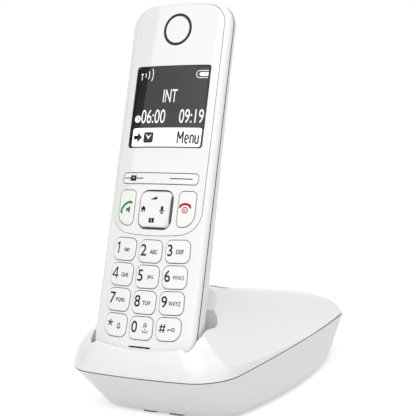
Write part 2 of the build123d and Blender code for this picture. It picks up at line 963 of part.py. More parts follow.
def vertical(outline, low, high):
    with BuildPart() as block:
        with BuildSketch(Plane.XY.offset(low)):
            add(outline)
        extrude(amount=high - low)
    return block.part


pillar_places = [
    (hand * half, y)
    for half, y in (
        (pillar_front_half, base_front + pillar_front_inset),
        (pillar_rear_half, base_rear - pillar_rear_inset),
    )
    for hand in (-1, 1)
]

with BuildSketch() as pillars:
    with Locations(*pillar_places):
        Circle(pillar_radius)

with BuildSketch() as pillar_holes:
    with Locations(*pillar_places):
        Circle(base_screw_radius + screw_gap)


def paging_outline(grow=0.0):
    with BuildSketch() as flat:
        with Locations((0, paging_y)):
            RectangleRounded(paging_width + 2 * grow, paging_length + 2 * grow, paging_round + grow)
    return flat.sketch


# Room for the cradle's cup: within the cover above the parting, clear of the bowl's wall below it
with BuildPart() as cup_room:
    add(cover_block())
    add(vertical(base_outline(base_wall + groove_deep), bowl_floor, cover_z))

# Cup that holds the foot of the handset, and the screw pillars, both kept under the hill
with BuildPart() as cradle_cup:
    with BuildSketch(cross.offset(handset_bottom - lift_clear - cradle_wall)):
        add(cradle_outline(cradle_wall))
    extrude(amount=handset_length)
    add(hill(), mode=Mode.INTERSECT)
    add(cup_room.part, mode=Mode.INTERSECT)

with BuildPart() as cover_pillars:
    add(vertical(pillars.sketch, pillar_split, deck_front))
    add(hill(base_wall / 2), mode=Mode.INTERSECT)

with BuildPart() as cover_core:
    add(cover_block(base_wall))
    add(hill(deck_wall), mode=Mode.INTERSECT)

with BuildPart() as base_cover:
    add(cover_block())
    add(hill(), mode=Mode.INTERSECT)
    add(cover_core.part, mode=Mode.SUBTRACT)
    add(cradle_cup.part)
    add(cover_pillars.part)
    with BuildSketch(cross.offset(handset_bottom - lift_clear)):
        add(cradle_outline())
    extrude(amount=handset_length, mode=Mode.SUBTRACT)
    with BuildSketch(cross.offset(handset_bottom - lift_clear - cradle_wall)):
        with Locations((-pad_at, pad_depth), (pad_at, pad_depth)):
            Circle(pin_radius + screw_gap)
    extrude(amount=cradle_wall, mode=Mode.SUBTRACT)
    add(vertical(paging_outline(paging_gap), parting_z, deck_front), mode=Mode.SUBTRACT)
    add(vertical(pillar_holes.sketch, pillar_split, parting_z), mode=Mode.SUBTRACT)
save(base_cover, "base_cover")

with BuildPart() as base_contacts:
    with BuildSketch(cross.offset(handset_bottom - lift_clear - cradle_wall)):
        with Locations((-pad_at, pad_depth), (pad_at, pad_depth)):
            Circle(pin_flange)
    extrude(amount=-pin_flange_thick)
    with BuildSketch(cross.offset(handset_bottom - lift_clear - cradle_wall - pin_tail)):
        with Locations((-pad_at, pad_depth), (pad_at, pad_depth)):
            Circle(pin_radius)
    extrude(amount=pin_tail + cradle_wall + lift_clear - pin_gap)
save(base_contacts, "base_contacts")

# Paging key: a cap flush with the sloping deck, a flange under it and a stem down to the switch
with BuildPart() as paging_flange_form:
    add(vertical(paging_outline(paging_flange_margin), parting_z, deck_front))
    add(hill(deck_wall + paging_flange_gap), mode=Mode.INTERSECT)

with BuildPart() as paging_key:
    add(vertical(paging_outline(), parting_z, deck_front))
    add(hill(-paging_proud), mode=Mode.INTERSECT)
    add(paging_flange_form.part)
    add(hill(deck_wall + paging_flange_gap + paging_flange), mode=Mode.SUBTRACT)
    with BuildSketch(Plane.XY.offset(switch_top + paging_travel + pin_gap)):
        with Locations((0, paging_y)):
            Circle(paging_stem)
    extrude(amount=paging_deck - deck_wall - switch_top - paging_travel - pin_gap)
save(paging_key, "paging_key")

with BuildPart() as paging_switch:
    with BuildSketch(Plane.XY.offset(board_top_z)):
        with Locations((0, paging_y)):
            Rectangle(switch_size, switch_size)
    extrude(amount=switch_height)
    with BuildSketch(Plane.XY.offset(board_top_z + switch_height)):
        with Locations((0, paging_y)):
            Circle(switch_button)
    extrude(amount=switch_button_height)
save(paging_switch, "paging_switch")

feet_places = [
    (hand * half, y)
    for half, y in (
        (feet_front_half, base_front + feet_front_inset),
        (feet_rear_half, base_rear - feet_rear_inset),
    )
    for hand in (-1, 1)
]

with BuildSketch() as feet_plan:
    with Locations(*feet_places):
        RectangleRounded(foot_pad_width, foot_pad_length, foot_pad_round)

stand_places = [
    (x, y)
    for x in (-stand_half, stand_half)
    for y in (base_board_front + stand_front_inset, base_board_rear - stand_rear_inset)
]

# Recess at the back for the two sockets, with a wall round it
with BuildSketch() as bay_block:
    with Locations((0, bay_face + base_length / 2)):
        Rectangle(2 * (bay_half + socket_wall), base_length + 2 * socket_wall)

with BuildSketch() as bay_room:
    with Locations((0, bay_face + base_length / 2)):
        Rectangle(2 * bay_half, base_length)

with BuildPart() as bowl_form:
    with BuildSketch(Plane.XY.offset(bowl_z)):
        add(foot_outline())
    with BuildSketch(Plane.XY.offset(bowl_top)):
        add(base_outline())
    loft(ruled=True)
    fillet(bowl_form.faces().sort_by(Axis.Z)[0].edges(), radius=bowl_edge)

with BuildPart() as bowl_room:
    with BuildSketch(Plane.XY.offset(bowl_floor)):
        add(foot_outline(base_wall))
    with BuildSketch(Plane.XY.offset(bowl_top)):
        add(base_outline(base_wall))
    loft(ruled=True)

with BuildPart() as bay_walls:
    add(vertical(bay_block.sketch, bay_z_low - socket_wall, bowl_top))
    add(bowl_form.part, mode=Mode.INTERSECT)

with BuildPart() as base_bowl:
    add(bowl_form.part)
    add(bowl_room.part, mode=Mode.SUBTRACT)
    add(bay_walls.part)
    add(vertical(bay_room.sketch, bay_z_low, bay_z_high), mode=Mode.SUBTRACT)
    with BuildSketch(Plane.XY.offset(bowl_top)):
        add(base_outline(groove_deep))
        add(base_outline(base_wall), mode=Mode.SUBTRACT)
    extrude(amount=groove)
    add(vertical(pillars.sketch, bowl_floor, pillar_split - set_gap))
    with BuildSketch(Plane.XY.offset(bowl_floor)):
        with Locations(*stand_places):
            Circle(stand_radius)
    extrude(amount=base_board_z - bowl_floor)
    add(vertical(pillar_holes.sketch, bowl_z, pillar_split), mode=Mode.SUBTRACT)
    with BuildSketch(Plane.XY.offset(bowl_z)):
        with Locations(*pillar_places):
            Circle(base_screw_head + screw_gap)
    extrude(amount=base_screw_sink, mode=Mode.SUBTRACT)
    with BuildSketch(Plane.XY.offset(bowl_z)):
        add(feet_plan.sketch)
    extrude(amount=foot_pad_sink, mode=Mode.SUBTRACT)
    with BuildSketch(Plane.XZ.offset(-bay_face)):
        with Locations((line_x, board_top_z + line_height / 2)):
            Rectangle(line_width + 2 * socket_gap, line_height + 2 * socket_gap)
        with Locations((power_x, board_top_z + power_height / 2)):
            Rectangle(power_width + 2 * socket_gap, power_height + 2 * socket_gap)
    extrude(amount=socket_wall, mode=Mode.SUBTRACT)
save(base_bowl, "base_bowl")

with BuildPart() as rubber_feet:
    add(vertical(feet_plan.sketch, 0, bowl_z + foot_pad_sink))
save(rubber_feet, "rubber_feet")

with BuildPart() as base_board:
    with BuildSketch(Plane.XY.offset(base_board_z)):
        with Locations((0, (base_board_front + base_board_rear) / 2)):
            Rectangle(2 * base_board_half, base_board_rear - base_board_front)
    extrude(amount=base_board_thick)
save(base_board, "base_board")

with BuildPart() as base_shield:
    with BuildSketch(Plane.XY.offset(board_top_z)):
        with Locations((0, base_can_y)):
            RectangleRounded(base_can_size, base_can_length, can_corner)
    extrude(amount=base_can_height)
save(base_shield, "base_shield")

# Line socket: a square jack with a stepped mouth for the latch
with BuildPart() as line_socket:
    with BuildSketch(Plane.XZ.offset(-bay_face)):
        with Locations((line_x, board_top_z + line_height / 2)):
            Rectangle(line_width, line_height)
    extrude(amount=line_deep)
    with BuildSketch(Plane.XZ.offset(-bay_face)):
        with Locations((line_x, board_top_z + line_height / 2)):
            Rectangle(line_mouth_width, line_mouth_height)
    extrude(amount=line_mouth_deep, mode=Mode.SUBTRACT)
save(line_socket, "line_socket")

# Power socket: a round mouth with a pin in the middle
with BuildPart() as power_socket:
    with BuildSketch(Plane.XZ.offset(-bay_face)):
        with Locations((power_x, board_top_z + power_height / 2)):
            Rectangle(power_width, power_height)
    extrude(amount=power_deep)
    with BuildSketch(Plane.XZ.offset(-bay_face)):
        with Locations((power_x, board_top_z + power_height / 2)):
            Circle(power_mouth)
            Circle(power_pin, mode=Mode.SUBTRACT)
    extrude(amount=power_mouth_deep, mode=Mode.SUBTRACT)
save(power_socket, "power_socket")

with BuildPart() as base_screws:
    with BuildSketch(Plane.XY.offset(bowl_z + base_screw_sink)):
        with Locations(*pillar_places):
            Circle(base_screw_head)
    extrude(amount=-base_screw_head_thick)
    with BuildSketch(Plane.XY.offset(bowl_z + base_screw_sink)):
        with Locations(*pillar_places):
            Circle(base_screw_radius)
    extrude(amount=base_screw_length)
save(base_screws, "base_screws")
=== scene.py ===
import json
import math
import bpy
from mathutils import Matrix, Vector


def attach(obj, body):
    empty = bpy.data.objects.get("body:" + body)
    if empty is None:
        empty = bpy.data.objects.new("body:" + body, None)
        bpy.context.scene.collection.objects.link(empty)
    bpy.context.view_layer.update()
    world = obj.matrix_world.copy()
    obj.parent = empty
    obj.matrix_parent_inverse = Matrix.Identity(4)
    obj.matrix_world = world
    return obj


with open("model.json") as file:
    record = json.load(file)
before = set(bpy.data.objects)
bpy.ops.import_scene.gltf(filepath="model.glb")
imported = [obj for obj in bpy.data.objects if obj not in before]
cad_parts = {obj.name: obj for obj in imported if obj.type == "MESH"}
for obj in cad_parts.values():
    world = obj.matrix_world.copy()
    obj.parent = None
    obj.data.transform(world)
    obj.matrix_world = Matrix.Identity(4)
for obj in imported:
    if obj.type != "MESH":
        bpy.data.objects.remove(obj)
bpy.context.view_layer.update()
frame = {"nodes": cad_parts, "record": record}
nodes = frame["nodes"]
joints = {joint["name"]: joint for joint in frame["record"]["behaviour"]["joints"]}
mm = 0.001
print("frame loaded:", len(nodes), "nodes")

# The handset's own frame, in mm: x across its front, y along it, z out of its face
seat = {"y": -61.075, "z": 25.0}
along = Vector(joints["handset_lift"]["axis"])
outward = -Vector(joints["talk_press"]["axis"])
faceTurn = Matrix((Vector((1, 0, 0)), along, outward)).transposed()
handsetFrame = (
    Matrix.Translation((0, seat["y"] * mm, seat["z"] * mm))
    @ faceTurn.to_4x4()
    @ Matrix.Scale(mm, 4)
)
toHandset = handsetFrame.inverted()


# The way from the object to a viewer or a lamp, in degrees: azimuth 0 is in front, positive to the right
def wayTo(azimuth, elevation):
    around = math.radians(azimuth)
    up = math.radians(elevation)
    return Vector((math.sin(around) * math.cos(up), -math.cos(around) * math.cos(up), math.sin(up)))


# Camera: stands where the photograph was taken from
photoView = {
    "place": (293.75, -459.72, 168.26),  # mm
    "azimuth": 32.55, "elevation": 9.33, "roll": -3.99,  # degrees
    "lens": 109.9, "sensor": 36.0, "nearest": 10.0,  # mm
}
roll = math.radians(photoView["roll"])
toCamera = wayTo(photoView["azimuth"], photoView["elevation"])
levelSide = wayTo(photoView["azimuth"] + 90, 0)
side = levelSide * math.cos(roll) + toCamera.cross(levelSide) * math.sin(roll)
bpy.ops.object.select_all(action="DESELECT")
bpy.ops.object.camera_add()
camera = bpy.context.object
camera.name = "photo_camera"
camera.data.sensor_width = photoView["sensor"]
camera.data.lens = photoView["lens"]
camera.data.clip_start = photoView["nearest"] * mm
camera.matrix_world = (
    Matrix.Translation(Vector(photoView["place"]) * mm)
    @ Matrix((side, toCamera.cross(side), toCamera)).transposed().to_4x4()
)
bpy.context.scene.camera = camera
print("camera set")


# Node helpers: one adds a node with its settings and links, one turns an sRGB hex into linear colour
def addNode(tree, kind, settings={}, inputs={}):
    node = tree.nodes.new(kind)
    for name, value in settings.items():
        setattr(node, name, value)
    for name, value in inputs.items():
        if isinstance(value, bpy.types.NodeSocket):
            tree.links.new(value, node.inputs[name])
        else:
            node.inputs[name].default_value = value
    return node


def linear(hexColour):
    parts = [int(hexColour[i:i + 2], 16) / 255 for i in (1, 3, 5)]
    return tuple(p / 12.92 if p <= 0.04045 else ((p + 0.055) / 1.055) ** 2.4 for p in parts) + (1,)


def newFinish(name):
    finish = bpy.data.materials.new(name)
    finish.use_nodes = True
    tree = finish.node_tree
    place = addNode(tree, "ShaderNodeTexCoord").outputs["Object"]
    return finish, tree, tree.nodes["Principled BSDF"], place


# One where a surface is seen by the camera, in a mirror or through glass, and nought where it only lights
def seenBy(tree):
    rays = addNode(tree, "ShaderNodeLightPath").outputs
    direct = addNode(tree, "ShaderNodeMath", {"operation": "MAXIMUM"}, {
        0: rays["Is Camera Ray"], 1: rays["Is Glossy Ray"],
    })
    seen = addNode(tree, "ShaderNodeMath", {"operation": "MAXIMUM"}, {
        0: direct.outputs[0], 1: rays["Is Transmission Ray"],
    })
    return seen.outputs[0]


# Floor: pale paper that lights the object from below and is lifted to white where it is seen, shadow and all
stage = {"floorSize": 8.0, "floorTone": "#DADADA", "cameraLift": 0.45, "shadowReach": 0.7}  # sizes in m
bpy.ops.mesh.primitive_plane_add(size=stage["floorSize"])
floor = bpy.context.object
floor.name = "floor"
floorFinish = bpy.data.materials.new("paper_sweep")
floorFinish.use_nodes = True
tree = floorFinish.node_tree
tree.nodes.remove(tree.nodes["Principled BSDF"])
place = addNode(tree, "ShaderNodeTexCoord")
spread = addNode(tree, "ShaderNodeMapping", {}, {
    "Vector": place.outputs["Object"], "Scale": (1 / stage["shadowReach"],) * 3,
})
nearness = addNode(tree, "ShaderNodeTexGradient", {"gradient_type": "SPHERICAL"}, {
    "Vector": spread.outputs[0],
})
lift = addNode(tree, "ShaderNodeMapRange", {}, {
    "Value": nearness.outputs[1], "To Min": 1.0, "To Max": stage["cameraLift"],
})
strength = addNode(tree, "ShaderNodeMath", {"operation": "MULTIPLY"}, {0: seenBy(tree), 1: lift.outputs[0]})
glow = addNode(tree, "ShaderNodeEmission", {}, {"Strength": strength.outputs[0]})
paper = addNode(tree, "ShaderNodeBsdfDiffuse", {}, {"Color": linear(stage["floorTone"])})
both = addNode(tree, "ShaderNodeAddShader", {}, {0: paper.outputs[0], 1: glow.outputs[0]})
tree.links.new(both.outputs[0], tree.nodes["Material Output"].inputs["Surface"])
floor.data.materials.append(floorFinish)

# World: white where it is seen, a soft grey where it lights
world = bpy.data.worlds.new("studio")
world.use_nodes = True
bpy.context.scene.world = world
tree = world.node_tree
ambient = {"light": 0.42, "seen": 1.0}
strength = addNode(tree, "ShaderNodeMapRange", {}, {
    "Value": seenBy(tree), "To Min": ambient["light"], "To Max": ambient["seen"],
})
tree.links.new(strength.outputs[0], tree.nodes["Background"].inputs["Strength"])
tree.nodes["Background"].inputs["Color"].default_value = (1, 1, 1, 1)
bpy.context.scene.view_settings.view_transform = "Standard"

# Softboxes: turned to one height of the object; angles in degrees, distance and size in m
aim = Vector((0, 0, 80 * mm))
softboxes = {
    "front": {"azimuth": 8, "elevation": 36, "distance": 1.2, "size": 1.1, "watts": 8.2},
    "right": {"azimuth": 80, "elevation": 25, "distance": 1.3, "size": 1.0, "watts": 2.2},
    "top": {"azimuth": 150, "elevation": 72, "distance": 1.2, "size": 1.0, "watts": 4.2},
}
for name, box in softboxes.items():
    toLamp = wayTo(box["azimuth"], box["elevation"])
    bpy.ops.object.light_add(type="AREA")
    lamp = bpy.context.object
    lamp.name = name + "_softbox"
    lamp.data.size = box["size"]
    lamp.data.energy = box["watts"]
    lamp.location = toLamp * box["distance"] + aim
    lamp.rotation_mode = "QUATERNION"
    lamp.rotation_quaternion = toLamp.to_track_quat("Z", "Y")

# Flag: a dark card at the left that only mirrors show, for the grey strip along the panel; degrees and m
flag = {"from": -48.3, "to": -84.0, "distance": 1.0, "low": -0.2, "high": 1.4, "tone": "#2A2A2A"}
bpy.ops.object.select_all(action="DESELECT")
bpy.ops.mesh.primitive_plane_add(size=1.0)
card = bpy.context.object
card.name = "flag"
for vertex in card.data.vertices:
    azimuth = flag["from"] if vertex.co.x > 0 else flag["to"]
    height = flag["high"] if vertex.co.y > 0 else flag["low"]
    vertex.co = wayTo(azimuth, 0) * flag["distance"] + Vector((0, 0, height))
card.visible_camera = False
card.visible_diffuse = False
card.visible_shadow = False
cardFinish = bpy.data.materials.new("flag_cloth")
cardFinish.use_nodes = True
cardFinish.node_tree.nodes["Principled BSDF"].inputs["Base Color"].default_value = linear(flag["tone"])
card.data.materials.append(cardFinish)
print("stage lit:", ", ".join(softboxes))

# Moulded plastics: fine grit from the mould, a faint flow of tone, roughness that varies with the grit, and
# painted shade in the narrow gaps between pieces, which makes each joint a thin dark line
gapShade = {"reach": 0.8, "dark": 0.08, "clear": 0.44}  # mm; open share of the sky over a point
lacquerRough = 0.015  # of the clear coat on the panel


def mouldedPlastic(name, plastic):
    finish, tree, shader, place = newFinish(name)
    grit = addNode(tree, "ShaderNodeTexNoise", {}, {
        "Vector": place, "Scale": 1 / (plastic["grit"] * mm), "Detail": 3.0,
    })
    flow = addNode(tree, "ShaderNodeTexNoise", {}, {
        "Vector": place, "Scale": 1 / (plastic["flow"] * mm), "Detail": 1.0,
    })
    tone = addNode(tree, "ShaderNodeMix", {"data_type": "RGBA"}, {
        "Factor": flow.outputs[0], 6: linear(plastic["colour"]), 7: linear(plastic["shade"]),
    })
    rough = addNode(tree, "ShaderNodeMapRange", {}, {
        "Value": grit.outputs[0],
        "To Min": plastic["rough"] - plastic["spread"], "To Max": plastic["rough"] + plastic["spread"],
    })
    bump = addNode(tree, "ShaderNodeBump", {}, {
        "Height": grit.outputs[0], "Strength": plastic["relief"], "Distance": plastic["depth"] * mm,
    })
    tree.links.new(rough.outputs[0], shader.inputs["Roughness"])
    tree.links.new(bump.outputs[0], shader.inputs["Normal"])
    shader.inputs["IOR"].default_value = plastic["ior"]
    shader.inputs["Coat Weight"].default_value = plastic["coat"]
    shader.inputs["Coat Roughness"].default_value = lacquerRough
    if not plastic["gapShade"]:
        tree.links.new(tone.outputs[2], shader.inputs["Base Color"])
        return finish
    # Painted shade: the colour darkens where little of the sky is open over a point, as in narrow gaps
    shut = addNode(tree, "ShaderNodeAmbientOcclusion", {"samples": 6}, {"Distance": gapShade["reach"] * mm})
    free = addNode(tree, "ShaderNodeMapRange", {}, {
        "Value": shut.outputs["AO"], "From Min": gapShade["dark"], "From Max": gapShade["clear"],
    })
    gapShadedTone = addNode(tree, "ShaderNodeMix", {"data_type": "RGBA"}, {
        "Factor": free.outputs[0], 6: linear(plastic["gapShade"]), 7: tone.outputs[2],
    })
    tree.links.new(gapShadedTone.outputs[2], shader.inputs["Base Color"])
    return finish


# Shades a finish towards a colour as a value passes from one level to another
def shadeBy(finish, value, start, end, colour):
    tree = finish.node_tree
    shader = tree.nodes["Principled BSDF"]
    before = shader.inputs["Base Color"].links[0].from_socket
    share = addNode(tree, "ShaderNodeMapRange", {}, {"Value": value, "From Min": start, "From Max": end})
    shaded = addNode(tree, "ShaderNodeMix", {"data_type": "RGBA"}, {
        "Factor": share.outputs[0], 6: before, 7: linear(colour),
    })
    tree.links.new(shaded.outputs[2], shader.inputs["Base Color"])


# The last entry of each plastic is the colour of the painted shade in its narrow gaps
plastics = {
    # Satin ABS of the handset shells: spark-eroded mould, soft broad highlights
    "abs_satin": {"colour": "#F3F3F2", "shade": "#EFEFEE", "grit": 0.35, "flow": 30, "rough": 0.40,
                  "spread": 0.05, "relief": 0.25, "depth": 0.02, "ior": 1.53,
                  "coat": 0.0, "gapShade": "#161616"},
    # Polished ABS of the front panel: nearly a mirror, a faint orange peel bends what it shows
    "abs_polished": {"colour": "#F6F6F6", "shade": "#F3F3F3", "grit": 5.0, "flow": 40, "rough": 0.05,
                     "spread": 0.015, "relief": 0.03, "depth": 0.05, "ior": 1.53,
                     "coat": 1.0, "gapShade": "#2E2E2E"},
    # Smooth ABS of the base: a clean mould, between satin and gloss
    "abs_smooth": {"colour": "#F4F4F3", "shade": "#F0F0EF", "grit": 0.6, "flow": 45, "rough": 0.25,
                   "spread": 0.04, "relief": 0.12, "depth": 0.02, "ior": 1.53,
                   "coat": 0.0, "gapShade": "#747474"},
    # Satin ABS key caps: a little whiter than the shell, so that the keys stand off it
    "abs_keys": {"colour": "#F7F7F6", "shade": "#F3F3F2", "grit": 0.30, "flow": 12, "rough": 0.34,
                 "spread": 0.05, "relief": 0.20, "depth": 0.015, "ior": 1.53,
                 "coat": 0.0, "gapShade": "#3E3E3E"},
    # Black glass-filled nylon of sockets and sound parts: dull, with a coarse grit
    "nylon_black": {"colour": "#1E1E20", "shade": "#262628", "grit": 0.25, "flow": 6, "rough": 0.55,
                    "spread": 0.10, "relief": 0.35, "depth": 0.03, "ior": 1.53,
                    "coat": 0.0, "gapShade": None},
    # Silicone keypad mat: milky and quite dull
    "silicone_mat": {"colour": "#D9D9D6", "shade": "#D2D2CF", "grit": 0.5, "flow": 15, "rough": 0.62,
                     "spread": 0.06, "relief": 0.15, "depth": 0.02, "ior": 1.41,
                     "coat": 0.0, "gapShade": None},
    # Moulded rubber of the feet: grey and dull, rubbed a little on the ground
    "rubber_grey": {"colour": "#8C8C8A", "shade": "#7C7C7A", "grit": 0.4, "flow": 4, "rough": 0.75,
                    "spread": 0.10, "relief": 0.40, "depth": 0.04, "ior": 1.50,
                    "coat": 0.0, "gapShade": None},
}
finishes = {name: mouldedPlastic(name, plastic) for name, plastic in plastics.items()}

# Smooth ABS of the bowl: its top edge, which is the floor of the groove, is painted darker as shade in the
# groove
grooveShade = {"start": 20.2, "end": 20.35, "colour": "#4A4A4A"}  # mm above the ground
finishes["abs_bowl"] = mouldedPlastic("abs_bowl", plastics["abs_smooth"])
tree = finishes["abs_bowl"].node_tree
place = addNode(tree, "ShaderNodeTexCoord").outputs["Object"]
height = addNode(tree, "ShaderNodeSeparateXYZ", {}, {0: place}).outputs["Z"]
shadeBy(finishes["abs_bowl"], height, grooveShade["start"] * mm, grooveShade["end"] * mm, grooveShade["colour"])


# Places in mm across, along and out of the handset
def onHandset(tree):
    place = addNode(tree, "ShaderNodeTexCoord").outputs["Object"]
    local = addNode(tree, "ShaderNodeMapping", {}, {
        "Vector": place, "Location": toHandset.to_translation(), "Rotation": toHandset.to_euler(),
        "Scale": toHandset.to_scale(),
    })
    return addNode(tree, "ShaderNodeSeparateXYZ", {}, {0: local.outputs[0]}).outputs


# How far a value is from a level
def apartFrom(tree, value, level):
    apart = addNode(tree, "ShaderNodeMath", {"operation": "SUBTRACT"}, {0: value, 1: level})
    return addNode(tree, "ShaderNodeMath", {"operation": "ABSOLUTE"}, {0: apart.outputs[0]}).outputs[0]


# Satin ABS of the shells: painted shade in the gap where front and back meet
partingShade = {"level": -4.4, "start": 0.36, "end": 0.28, "colour": "#484848"}  # mm on the handset
tree = finishes["abs_satin"].node_tree
fromGap = apartFrom(tree, onHandset(tree)["Z"], partingShade["level"])
shadeBy(finishes["abs_satin"], fromGap, partingShade["start"], partingShade["end"], partingShade["colour"])

# Satin ABS of the navigation key: painted shade round the edge of its top, as the gap round the key casts it,
# a little wider on the right and below
navEdgeShade = {"middle": (-0.12, 63.82), "start": 7.30, "end": 7.55, "colour": "#5E5E60"}  # mm on the handset
finishes["abs_keys_edge_shade"] = mouldedPlastic("abs_keys_edge_shade", plastics["abs_keys"])
tree = finishes["abs_keys_edge_shade"].node_tree
spot = onHandset(tree)
aside = [apartFrom(tree, spot[axis], level) for axis, level in zip("XY", navEdgeShade["middle"])]
furthest = addNode(tree, "ShaderNodeMath", {"operation": "MAXIMUM"}, {0: aside[0], 1: aside[1]})
shadeBy(finishes["abs_keys_edge_shade"], furthest.outputs[0], navEdgeShade["start"], navEdgeShade["end"], navEdgeShade["colour"])

# Clear cast acrylic of the display window: bends and mirrors, hardly tints
acrylic = {"tint": "#F4F6F6", "ior": 1.49, "haze": 9.0, "clear": 0.015, "dull": 0.035}  # haze in mm
finish, tree, shader, place = newFinish("acrylic_clear")
haze = addNode(tree, "ShaderNodeTexNoise", {}, {"Vector": place, "Scale": 1 / (acrylic["haze"] * mm)})
rough = addNode(tree, "ShaderNodeMapRange", {}, {
    "Value": haze.outputs[0], "To Min": acrylic["clear"], "To Max": acrylic["dull"],
})
tree.links.new(rough.outputs[0], shader.inputs["Roughness"])
shader.inputs["Base Color"].default_value = linear(acrylic["tint"])
shader.inputs["Transmission Weight"].default_value = 1.0
shader.inputs["IOR"].default_value = acrylic["ior"]
finishes["acrylic_clear"] = finish

# Display cell: dark glass over a grid of dots; the 0.30 mm dots are drawn as they are
dots = {"pitch": 0.30, "gap": 0.03, "dot": "#17171A", "line": "#101012", "rough": 0.30}  # mm
finish, tree, shader, place = newFinish("display_cell")
onFace = addNode(tree, "ShaderNodeMapping", {"vector_type": "TEXTURE"}, {
    "Vector": place, "Rotation": faceTurn.to_euler(),
})
grid = addNode(tree, "ShaderNodeTexBrick", {"offset": 0.0}, {
    "Vector": onFace.outputs[0], "Color1": linear(dots["dot"]), "Color2": linear(dots["dot"]),
    "Mortar": linear(dots["line"]), "Scale": 1.0, "Mortar Size": dots["gap"] * mm,
    "Brick Width": dots["pitch"] * mm, "Row Height": dots["pitch"] * mm,
})
tree.links.new(grid.outputs["Color"], shader.inputs["Base Color"])
shader.inputs["Roughness"].default_value = dots["rough"]
finishes["display_cell"] = finish


# Inks and display marks: pad-printed ink is matt and a little uneven; a pale display mark glows evenly,
# partly as the display's backlight and partly as painted light in place of the lamplight that the window
# keeps off it
inkWear = {"patch": 0.4, "specular": 0.2}  # mm; duller than the usual 0.5


def markFinish(name, mark):
    finish, tree, shader, place = newFinish(name)
    wear = addNode(tree, "ShaderNodeTexNoise", {}, {"Vector": place, "Scale": 1 / (inkWear["patch"] * mm)})
    tone = addNode(tree, "ShaderNodeMix", {"data_type": "RGBA"}, {
        "Factor": wear.outputs[0], 6: linear(mark["colour"]), 7: linear(mark["thin"]),
    })
    tree.links.new(tone.outputs[2], shader.inputs["Base Color"])
    shader.inputs["Roughness"].default_value = mark["rough"]
    shader.inputs["Specular IOR Level"].default_value = inkWear["specular"]
    # Painted light: the pale display marks glow in place of the lamplight that the window keeps off them
    if mark["glow"]:
        tree.links.new(tone.outputs[2], shader.inputs["Emission Color"])
        shader.inputs["Emission Strength"].default_value = mark["glow"]
    return finish


markTones = {
    "ink_black": {"colour": "#141416", "thin": "#1E1E20", "rough": 0.50, "glow": 0},
    "ink_green": {"colour": "#23862A", "thin": "#2C8F33", "rough": 0.45, "glow": 0},
    "ink_red": {"colour": "#B0101A", "thin": "#BA1A24", "rough": 0.45, "glow": 0},
    "display_pale": {"colour": "#E9ECEA", "thin": "#E4E7E5", "rough": 0.40, "glow": 0.75},
    "display_strip": {"colour": "#F6F8F7", "thin": "#F2F4F3", "rough": 0.40, "glow": 0.85},
    "display_dark": {"colour": "#0C0C0E", "thin": "#101012", "rough": 0.40, "glow": 0},
    "window_border": {"colour": "#0E0E10", "thin": "#141416", "rough": 0.35, "glow": 0},
}
finishes.update({name: markFinish(name, mark) for name, mark in markTones.items()})

# Woven sound mesh in the ear ring: a black cloth of 0.25 mm threads
weave = {
    "thread": 0.25, "depth": 0.05,  # mm
    "colour": "#121213", "hole": "#060606", "rough": 0.45, "relief": 0.4,
}
finish, tree, shader, place = newFinish("sound_mesh")
onFace = addNode(tree, "ShaderNodeMapping", {"vector_type": "TEXTURE"}, {
    "Vector": place, "Rotation": faceTurn.to_euler(),
})
threads = addNode(tree, "ShaderNodeTexChecker", {}, {
    "Vector": onFace.outputs[0], "Scale": 1 / (weave["thread"] * mm),
    "Color1": linear(weave["colour"]), "Color2": linear(weave["hole"]),
})
bump = addNode(tree, "ShaderNodeBump", {}, {
    "Height": threads.outputs[1], "Strength": weave["relief"], "Distance": weave["depth"] * mm,
})
tree.links.new(threads.outputs[0], shader.inputs["Base Color"])
tree.links.new(bump.outputs[0], shader.inputs["Normal"])
shader.inputs["Roughness"].default_value = weave["rough"]
finishes["sound_mesh"] = finish


# Metals: rolled or turned, so the marks of the tool run one way and spread the highlight
def workedMetal(name, metal):
    finish, tree, shader, place = newFinish(name)
    oneWay = addNode(tree, "ShaderNodeMapping", {}, {"Vector": place, "Scale": metal["stretch"]})
    lines = addNode(tree, "ShaderNodeTexNoise", {}, {
        "Vector": oneWay.outputs[0], "Scale": 1 / (metal["line"] * mm), "Detail": 4.0,
    })
    tone = addNode(tree, "ShaderNodeMix", {"data_type": "RGBA"}, {
        "Factor": lines.outputs[0], 6: linear(metal["colour"]), 7: linear(metal["shade"]),
    })
    rough = addNode(tree, "ShaderNodeMapRange", {}, {
        "Value": lines.outputs[0],
        "To Min": metal["rough"] - metal["spread"], "To Max": metal["rough"] + metal["spread"],
    })
    tree.links.new(tone.outputs[2], shader.inputs["Base Color"])
    tree.links.new(rough.outputs[0], shader.inputs["Roughness"])
    shader.inputs["Metallic"].default_value = 1.0
    return finish


metals = {
    # Tinned steel of shield cans and battery contacts
    "steel_tinned": {"colour": "#B9BABB", "shade": "#A4A5A6", "line": 0.5, "stretch": (1, 0.05, 1),
                     "rough": 0.34, "spread": 0.08},
    # Zinc-plated steel of the screws
    "steel_zinc": {"colour": "#A9ABAE", "shade": "#8F9194", "line": 0.3, "stretch": (1, 1, 0.2),
                   "rough": 0.38, "spread": 0.08},
    # Nickel-plated spring bronze of the charging contacts
    "nickel_plate": {"colour": "#CFC9BD", "shade": "#BDB6A9", "line": 0.4, "stretch": (1, 0.1, 1),
                     "rough": 0.22, "spread": 0.08},
    # Gold flash on the wires of the line socket
    "gold_flash": {"colour": "#D9B45B", "shade": "#C49F4B", "line": 0.3, "stretch": (1, 0.1, 1),
                   "rough": 0.25, "spread": 0.08},
}
finishes.update({name: workedMetal(name, metal) for name, metal in metals.items()})

